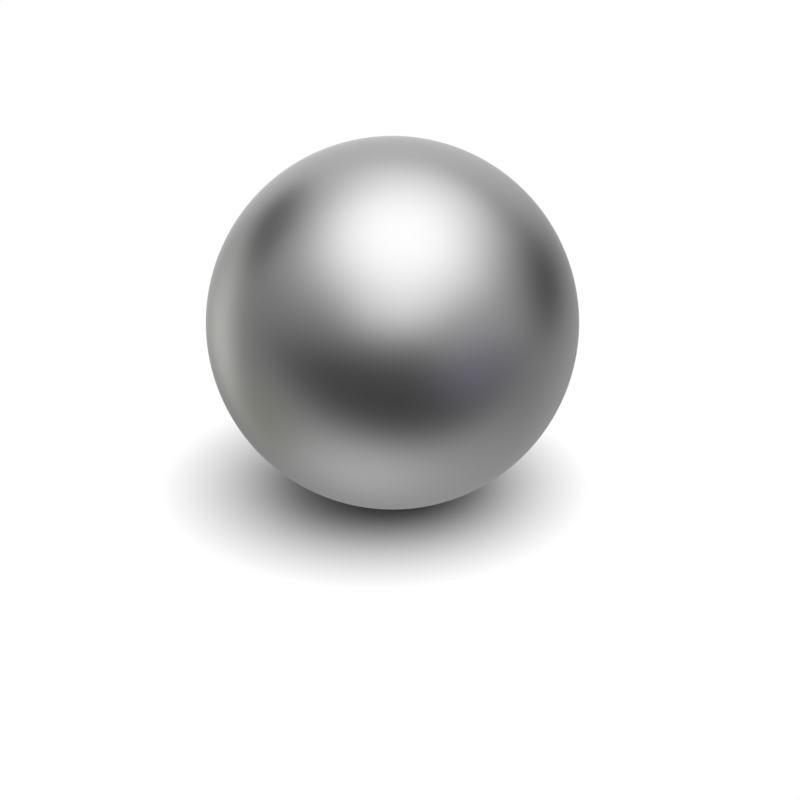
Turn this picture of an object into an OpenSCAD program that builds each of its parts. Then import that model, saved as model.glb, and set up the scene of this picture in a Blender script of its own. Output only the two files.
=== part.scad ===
// Solid steel ball: one true sphere, ground all over, with no flat, bore, seam or mark.
// The origin is the centre of the ball. +Z is up, so the ball rests at its lowest point,
// on the -Z axis, and any ring, cup or dimple that holds it is centred there.

/* [Ball] */
// Diameter of the ball in mm, by half-inch trade steps
ball_diameter = 76.2; // [25.4:12.7:101.6]

/* [Hidden] */

// Facets round the equator of the drawn ball
ball_facets = 180;

// The whole part: a solid sphere about the origin
module ball() {
    color("darkgray")
        sphere(d = ball_diameter, $fn = ball_facets);
}

ball();
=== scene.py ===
"""Builds the looks of a solid steel ball: its ground skin, the studio round it and the camera."""

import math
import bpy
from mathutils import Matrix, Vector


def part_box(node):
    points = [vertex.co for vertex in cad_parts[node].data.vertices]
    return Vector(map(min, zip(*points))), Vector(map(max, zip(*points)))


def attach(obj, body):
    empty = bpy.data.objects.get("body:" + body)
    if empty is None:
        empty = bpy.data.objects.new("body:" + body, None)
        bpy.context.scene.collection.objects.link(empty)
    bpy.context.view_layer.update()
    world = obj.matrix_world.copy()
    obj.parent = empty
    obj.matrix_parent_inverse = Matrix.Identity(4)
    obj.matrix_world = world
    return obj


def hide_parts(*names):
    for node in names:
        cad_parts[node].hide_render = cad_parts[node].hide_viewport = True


bl_info = {
    "name": "Ground Steel Ball",
    "version": (1, 0, 0),
    "blender": (4, 5, 0),
    "location": "View3D > Sidebar > Steel Ball",
    "description": "Builds a ground steel ball and the soft studio that it stands in",
    "category": "Object",
}

from collections import namedtuple

import bpy
from bpy.props import FloatProperty, FloatVectorProperty, IntProperty, PointerProperty
from bpy.types import Operator, Panel, PropertyGroup
from mathutils import Vector

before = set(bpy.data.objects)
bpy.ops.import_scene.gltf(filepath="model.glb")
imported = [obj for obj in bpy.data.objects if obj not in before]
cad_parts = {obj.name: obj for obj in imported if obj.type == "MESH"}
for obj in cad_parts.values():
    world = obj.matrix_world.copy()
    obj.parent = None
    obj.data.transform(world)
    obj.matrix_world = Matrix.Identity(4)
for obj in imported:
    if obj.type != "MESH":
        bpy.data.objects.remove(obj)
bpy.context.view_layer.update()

BALL_NODE = "ball"
BALL_BODY = "root"
BALL_LOW, BALL_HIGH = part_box(BALL_NODE)
BALL_CENTRE = (BALL_LOW + BALL_HIGH) / 2
BALL_DIAMETER = BALL_HIGH.z - BALL_LOW.z

# Where the ball stands in the picture, in pixels from its top left corner
PICTURE_SIDE = 800.0
BALL_SPOT_X = 392.6
BALL_SPOT_Y = 323.4
BALL_SPAN = 373.1

# Shades of light and of paint
NEUTRAL = (1.0, 1.0, 1.0)
VIOLET = (1.06, 1.00, 1.32)
WARM = (1.00, 1.00, 0.96)
YELLOW = (1.00, 1.00, 0.82)

# The studio round the ball: ovals of light, or of black, far away from it. They light the floor,
# and the steel shows them. Azimuth turns from the front, -Y, towards +X, and all angles are in
# degrees. The edge is the share of a panel's size over which it fades, the tone is its
# brightness, where 1 is white, and a later panel lies over an earlier one. The panels named for
# the floor are what the steel shows in place of the floor itself.
StudioPanel = namedtuple(
    "StudioPanel", "name azimuth elevation half_width half_height edge tone tint"
)
STUDIO_PANELS = (
    StudioPanel("back_wall", 185, 20, 45, 20, 0.6, 0.70, NEUTRAL),
    StudioPanel("back_top", 165, 55, 40, 15, 0.8, 0.80, NEUTRAL),
    StudioPanel("left_strip", -80, 35, 25, 10, 1.0, 0.45, NEUTRAL),
    StudioPanel("right_strip", 60, 30, 20, 10, 1.0, 0.60, NEUTRAL),
    StudioPanel("front_strip", 5, 30, 25, 15, 0.8, 0.95, NEUTRAL),
    StudioPanel("softbox", 20, 75, 40, 40, 0.7, 1.90, NEUTRAL),
    StudioPanel("floor", 0, -90, 40, 40, 0.6, 0.50, NEUTRAL),
    StudioPanel("floor_glow", -45, -75, 20, 20, 1.0, 0.75, NEUTRAL),
    StudioPanel("front_black", -10, -10, 60, 20, 0.8, 0.05, NEUTRAL),
    StudioPanel("low_black", 10, -30, 55, 20, 0.8, 0.05, NEUTRAL),
    StudioPanel("left_black", -125, 25, 20, 15, 0.4, 0.10, NEUTRAL),
    StudioPanel("left_lamp", -125, -15, 15, 20, 0.8, 0.85, WARM),
    StudioPanel("right_black", 115, 5, 20, 15, 0.8, 0.05, NEUTRAL),
    StudioPanel("right_card", 55, 10, 25, 15, 0.8, 0.50, NEUTRAL),
    StudioPanel("violet_card", 50, -10, 20, 15, 1.0, 0.20, VIOLET),
    StudioPanel("left_floor", -100, -40, 15, 10, 1.0, 0.35, YELLOW),
    StudioPanel("right_floor", 150, -30, 30, 20, 0.8, 0.45, NEUTRAL),
)
BACKDROP = StudioPanel("backdrop", 185, -10, 20, 15, 1.0, 1.00, NEUTRAL)

# Just over 1, so that the direction right opposite a panel is no division by zero
PAST_OPPOSITE = 1.0001

# The ring over which a painted white glow comes in over the floor for the camera: it lifts the
# outer part of the ball's cast shadow, and past the ring the floor is plain white. Its middle,
# measured from the ball's, its start and its end are shares of the ball's radius.
FADE_MIDDLE = Vector((-0.1, 0.1, -1.0))
FADE_START = 0.4
FADE_END = 1.2

FLOOR_CORNERS = 128

# How near the camera sees, in metres, and how far, as a multiple of the floor's radius
CAMERA_NEAR = 0.01
CAMERA_FAR = 4

# Where the colour Mix node, which has a set of sockets for each kind of value, keeps its own
MIX_FACTOR = 0
MIX_BEHIND = 6
MIX_OVER = 7
MIX_RESULT = 2


class Wire:
    """One value in a node tree. Sums, products and the like of wires add their Math nodes."""

    def __init__(self, tree, socket=None):
        self.tree = tree
        self.socket = socket

    def node(self, kind, settings=None, inputs=None, output=0):
        """Adds a node, settings first, then its sockets' values or links, and gives one output."""
        made = self.tree.nodes.new(kind)
        for name, value in (settings or {}).items():
            setattr(made, name, value)
        for name, value in (inputs or {}).items():
            if isinstance(value, Wire):
                self.tree.links.new(value.socket, made.inputs[name])
            else:
                made.inputs[name].default_value = value
        return Wire(self.tree, made.outputs[output] if made.outputs else None)

    def math(self, operation, first, second):
        return self.node("ShaderNodeMath", {"operation": operation}, {0: first, 1: second})

    def blend(self, behind, over):
        """One colour where this mask is 0 and the other where it is 1."""
        return self.node(
            "ShaderNodeMix",
            {"data_type": "RGBA"},
            {MIX_FACTOR: self, MIX_BEHIND: behind, MIX_OVER: over},
            output=MIX_RESULT,
        )

    def larger(self, other):
        return self.math("MAXIMUM", self, other)

    def noise(self, place, size, detail):
        """Even noise from 0 to 1 with lumps of about this size, in metres."""
        return self.node(
            "ShaderNodeTexNoise", {}, {"Vector": place, "Scale": 1.0 / size, "Detail": detail}
        )

    def __add__(self, other):
        return self.math("ADD", self, other)

    def __radd__(self, other):
        return self.math("ADD", other, self)

    def __sub__(self, other):
        return self.math("SUBTRACT", self, other)

    def __rsub__(self, other):
        return self.math("SUBTRACT", other, self)

    def __mul__(self, other):
        return self.math("MULTIPLY", self, other)

    def __rmul__(self, other):
        return self.math("MULTIPLY", other, self)

    def __truediv__(self, other):
        return self.math("DIVIDE", self, other)


def empty_tree(owner):
    """Gives the owner's node tree with nothing in it, as a wire to start from."""
    owner.use_nodes = True
    owner.node_tree.nodes.clear()
    return Wire(owner.node_tree)


def opaque(colour, brightness=1.0):
    """The colour at this brightness, as a socket wants it."""
    return (*(Vector(colour) * brightness), 1.0)


def seen_directly(tree):
    """1 for what the camera sees, straight on or through glass, and 0 for the light on things."""
    straight = tree.node("ShaderNodeLightPath", output="Is Camera Ray")
    through_glass = tree.node("ShaderNodeLightPath", output="Is Transmission Ray")
    return straight.larger(through_glass)


class SteelBallSettings(PropertyGroup):
    """Sizes and finish of the ball."""

    diameter: FloatProperty(
        name="Diameter",
        description="Diameter of the ball",
        default=BALL_DIAMETER,
        min=0.001,
        unit="LENGTH",
    )
    subdivisions: IntProperty(
        name="Subdivisions",
        description="How many times each side of the starting cube is halved",
        default=6,
        min=3,
        max=7,
    )
    steel_colour: FloatVectorProperty(
        name="Steel",
        description="Colour of the ground steel",
        default=(0.56, 0.56, 0.56),
        min=0.0,
        max=1.0,
        subtype="COLOR",
    )
    roughness: FloatProperty(
        name="Roughness",
        description="How far the ground surface blurs what it reflects",
        default=0.33,
        min=0.0,
        max=1.0,
        subtype="FACTOR",
    )
    tarnish: FloatProperty(
        name="Tarnish",
        description="How far the colour drifts from place to place",
        default=0.02,
        min=0.0,
        max=0.2,
        subtype="FACTOR",
    )
    cloud_size: FloatProperty(
        name="Clouds",
        description="Size of the faint clouds in the colour",
        default=0.018,
        min=0.001,
        unit="LENGTH",
    )
    patchiness: FloatProperty(
        name="Patchiness",
        description="How far the roughness drifts from place to place",
        default=0.02,
        min=0.0,
        max=0.2,
        subtype="FACTOR",
    )
    patch_size: FloatProperty(
        name="Patches",
        description="Size of the faint patches in the roughness",
        default=0.0024,
        min=0.0001,
        unit="LENGTH",
    )
    grain_size: FloatProperty(
        name="Grain",
        description="Size of the marks that the lapping plates leave",
        default=0.0002,
        min=0.00001,
        unit="LENGTH",
    )
    grain_depth: FloatProperty(
        name="Grain Depth",
        description="Depth of those marks",
        default=0.000006,
        min=0.0,
        unit="LENGTH",
    )


class SteelBallStudio(PropertyGroup):
    """Sizes and light of the studio."""

    floor_radius: FloatProperty(
        name="Floor",
        description="Radius of the round floor",
        default=12.0,
        min=0.5,
        unit="LENGTH",
    )
    floor_tone: FloatProperty(
        name="Floor Tone",
        description="How pale the paper on the floor is",
        default=0.8,
        min=0.0,
        max=1.0,
        subtype="FACTOR",
    )
    room_tone: FloatProperty(
        name="Room Tone",
        description="Brightness of the room where no panel stands",
        default=0.3,
        min=0.0,
    )
    camera_elevation: FloatProperty(
        name="Camera Elevation",
        description="Angle at which the camera looks down on the ball",
        default=math.radians(25.0),
        subtype="ANGLE",
    )
    lens: FloatProperty(
        name="Lens",
        description="Focal length of the camera",
        default=85.0,
        min=20.0,
        subtype="DISTANCE_CAMERA",
    )


def ground_steel(settings):
    """Satin steel, ground and then lapped, with faint clouds and a grain that has no direction."""
    material = bpy.data.materials.new("ground_steel")
    tree = empty_tree(material)
    place = tree.node("ShaderNodeTexCoord", output="Object")
    clouds = tree.noise(place, settings.cloud_size, detail=3.0)
    patches = tree.noise(place, settings.patch_size, detail=2.0)
    grain = tree.noise(place, settings.grain_size, detail=2.0)
    colour = clouds.blend(
        opaque(settings.steel_colour, 1.0 - settings.tarnish),
        opaque(settings.steel_colour, 1.0 + settings.tarnish),
    )
    roughness = settings.roughness + settings.patchiness * (patches + clouds - 1.0)
    normal = tree.node(
        "ShaderNodeBump", {}, {"Strength": 1.0, "Distance": settings.grain_depth, "Height": grain}
    )
    shader = tree.node(
        "ShaderNodeBsdfPrincipled",
        {},
        {"Base Color": colour, "Metallic": 1.0, "Roughness": roughness, "Normal": normal},
    )
    tree.node("ShaderNodeOutputMaterial", {}, {"Surface": shader})
    return material


class STEELBALL_OT_ball(Operator):
    """Build the ball as one closed skin of even quads, ground to a satin"""

    bl_idname = "steel_ball.ball"
    bl_label = "Steel Ball"

    def execute(self, context):
        settings = context.scene.steel_ball
        bpy.ops.object.select_all(action="DESELECT")
        bpy.ops.mesh.primitive_cube_add(size=settings.diameter, location=BALL_CENTRE)
        ball = context.active_object
        ball.name = "steel_ball"
        bpy.ops.object.transform_apply(location=True, rotation=True, scale=True)

        halve = ball.modifiers.new("Halve", "SUBSURF")
        halve.levels = settings.subdivisions
        halve.render_levels = settings.subdivisions
        bpy.ops.object.modifier_apply(modifier=halve.name)

        grind = ball.modifiers.new("Grind", "CAST")
        grind.cast_type = "SPHERE"
        grind.factor = 1.0
        grind.use_radius_as_size = False
        grind.size = settings.diameter / 2
        bpy.ops.object.modifier_apply(modifier=grind.name)

        bpy.ops.object.shade_smooth()
        ball.data.materials.append(ground_steel(settings))
        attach(ball, BALL_BODY)
        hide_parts(BALL_NODE)
        return {"FINISHED"}


def pale_paper(studio):
    """Matt pale paper with the ball's cast shadow, whose outer part a painted white glow lifts to
    white.
    """
    material = bpy.data.materials.new("pale_paper")
    tree = empty_tree(material)
    radius = BALL_DIAMETER / 2
    place = tree.node("ShaderNodeTexCoord", output="Object")
    reach = tree.node(
        "ShaderNodeVectorMath",
        {"operation": "DISTANCE"},
        {0: place, 1: BALL_CENTRE + FADE_MIDDLE * radius},
        output="Value",
    )
    # Painted light: white emission, mixed in by the distance from the ball, lightens the outer
    # part of the cast shadow for the camera.
    painted_shadow_lift = tree.node(
        "ShaderNodeMapRange",
        {},
        {"Value": reach, "From Min": FADE_START * radius, "From Max": FADE_END * radius},
    )
    paper = tree.node("ShaderNodeBsdfDiffuse", {}, {"Color": opaque(NEUTRAL, studio.floor_tone)})
    white = tree.node("ShaderNodeEmission", {}, {"Color": opaque(NEUTRAL), "Strength": 1.0})
    shader = tree.node(
        "ShaderNodeMixShader", {}, {0: painted_shadow_lift * painted_shadow_lift * seen_directly(tree), 1: paper, 2: white}
    )
    tree.node("ShaderNodeOutputMaterial", {}, {"Surface": shader})
    return material


def pale_floor(studio):
    """A round floor under the ball. The steel doesn't show it, because it has panels for that."""
    bpy.ops.object.select_all(action="DESELECT")
    bpy.ops.mesh.primitive_circle_add(
        vertices=FLOOR_CORNERS,
        radius=studio.floor_radius,
        fill_type="NGON",
        location=(0, 0, BALL_LOW.z),
    )
    floor = bpy.context.active_object
    floor.name = "floor"
    bpy.ops.object.transform_apply(location=True, rotation=True, scale=True)
    floor.data.materials.append(pale_paper(studio))
    floor.visible_glossy = False


def panel_mask(direction, panel):
    """1 on the panel and 0 beside it, for a direction seen from the ball."""
    turned = direction.node(
        "ShaderNodeMapping",
        {"vector_type": "TEXTURE"},
        {
            "Vector": direction,
            "Rotation": (
                -math.radians(panel.elevation),
                0.0,
                math.radians(panel.azimuth),
            ),
            "Scale": (
                math.tan(math.radians(panel.half_width) / 2),
                1.0,
                math.tan(math.radians(panel.half_height) / 2),
            ),
        },
    )
    across = turned.node(
        "ShaderNodeVectorMath", {"operation": "MULTIPLY"}, {0: turned, 1: (1.0, 0.0, 1.0)}
    )
    reach = across.node(
        "ShaderNodeVectorMath", {"operation": "LENGTH"}, {0: across}, output="Value"
    )
    depth = turned.node("ShaderNodeSeparateXYZ", {}, {0: turned}, output="Y")
    return reach.node(
        "ShaderNodeMapRange",
        {"interpolation_type": "SMOOTHSTEP"},
        {
            "Value": reach / (PAST_OPPOSITE - depth),
            "From Min": 1.0 + panel.edge,
            "From Max": 1.0 - panel.edge,
        },
    )


def studio_world(studio):
    """The panels round the ball, and plain white behind it."""
    world = bpy.data.worlds.new("studio")
    bpy.context.scene.world = world
    tree = empty_tree(world)
    direction = tree.node("ShaderNodeTexCoord", output="Generated")
    light = opaque(NEUTRAL, studio.room_tone)
    for panel in STUDIO_PANELS:
        light = panel_mask(direction, panel).blend(light, opaque(panel.tint, panel.tone))

    # The white backdrop stands behind the ball for every ray, so the steel shows it too. Seen
    # directly, it goes all the way round.
    white = panel_mask(direction, BACKDROP).larger(seen_directly(tree))
    light = white.blend(light, opaque(BACKDROP.tint, BACKDROP.tone))
    shader = tree.node("ShaderNodeBackground", {}, {"Color": light, "Strength": 1.0})
    tree.node("ShaderNodeOutputWorld", {}, {"Surface": shader})


def place_camera(studio):
    """Puts the camera where the ball has its size and its spot in the picture."""
    data = bpy.data.cameras.new("camera")
    data.lens = studio.lens
    camera = bpy.data.objects.new("camera", data)
    bpy.context.collection.objects.link(camera)
    elevation = studio.camera_elevation
    back = Vector((0.0, -math.cos(elevation), math.sin(elevation)))
    camera.rotation_mode = "QUATERNION"
    camera.rotation_quaternion = back.to_track_quat("Z", "Y")

    focal = studio.lens / data.sensor_width * PICTURE_SIDE
    distance = BALL_DIAMETER / 2 / math.sin(math.atan(BALL_SPAN / 2 / focal))
    spot = Vector((BALL_SPOT_X - PICTURE_SIDE / 2, PICTURE_SIDE / 2 - BALL_SPOT_Y, -focal))
    sight = camera.rotation_quaternion @ spot.normalized()
    camera.location = BALL_CENTRE - sight * distance
    data.clip_start = CAMERA_NEAR
    data.clip_end = CAMERA_FAR * studio.floor_radius
    bpy.context.scene.camera = camera


class STEELBALL_OT_studio(Operator):
    """Build the floor, the light and the camera"""

    bl_idname = "steel_ball.studio"
    bl_label = "Studio"

    def execute(self, context):
        studio = context.scene.steel_ball_studio
        pale_floor(studio)
        studio_world(studio)
        place_camera(studio)
        context.scene.view_settings.view_transform = "Standard"
        # The panels alone light the paper. What the ball's underside would throw back is left out.
        context.scene.cycles.diffuse_bounces = 0
        return {"FINISHED"}


class STEELBALL_PT_sidebar(Panel):
    """Lists the ball and its studio"""

    bl_idname = "STEELBALL_PT_sidebar"
    bl_label = "Steel Ball"
    bl_space_type = "VIEW_3D"
    bl_region_type = "UI"
    bl_category = "Steel Ball"

    def draw(self, context):
        settings = context.scene.steel_ball
        studio = context.scene.steel_ball_studio
        self.layout.operator(STEELBALL_OT_ball.bl_idname)
        for name in settings.__annotations__:
            self.layout.prop(settings, name)
        self.layout.operator(STEELBALL_OT_studio.bl_idname)
        for name in studio.__annotations__:
            self.layout.prop(studio, name)


CLASSES = (
    SteelBallSettings,
    SteelBallStudio,
    STEELBALL_OT_ball,
    STEELBALL_OT_studio,
    STEELBALL_PT_sidebar,
)


def register():
    for cls in CLASSES:
        bpy.utils.register_class(cls)
    bpy.types.Scene.steel_ball = PointerProperty(type=SteelBallSettings)
    bpy.types.Scene.steel_ball_studio = PointerProperty(type=SteelBallStudio)


def unregister():
    del bpy.types.Scene.steel_ball_studio
    del bpy.types.Scene.steel_ball
    for cls in reversed(CLASSES):
        bpy.utils.unregister_class(cls)


def main():
    register()
    bpy.ops.steel_ball.ball()
    bpy.ops.steel_ball.studio()


if __name__ == "__main__":
    main()
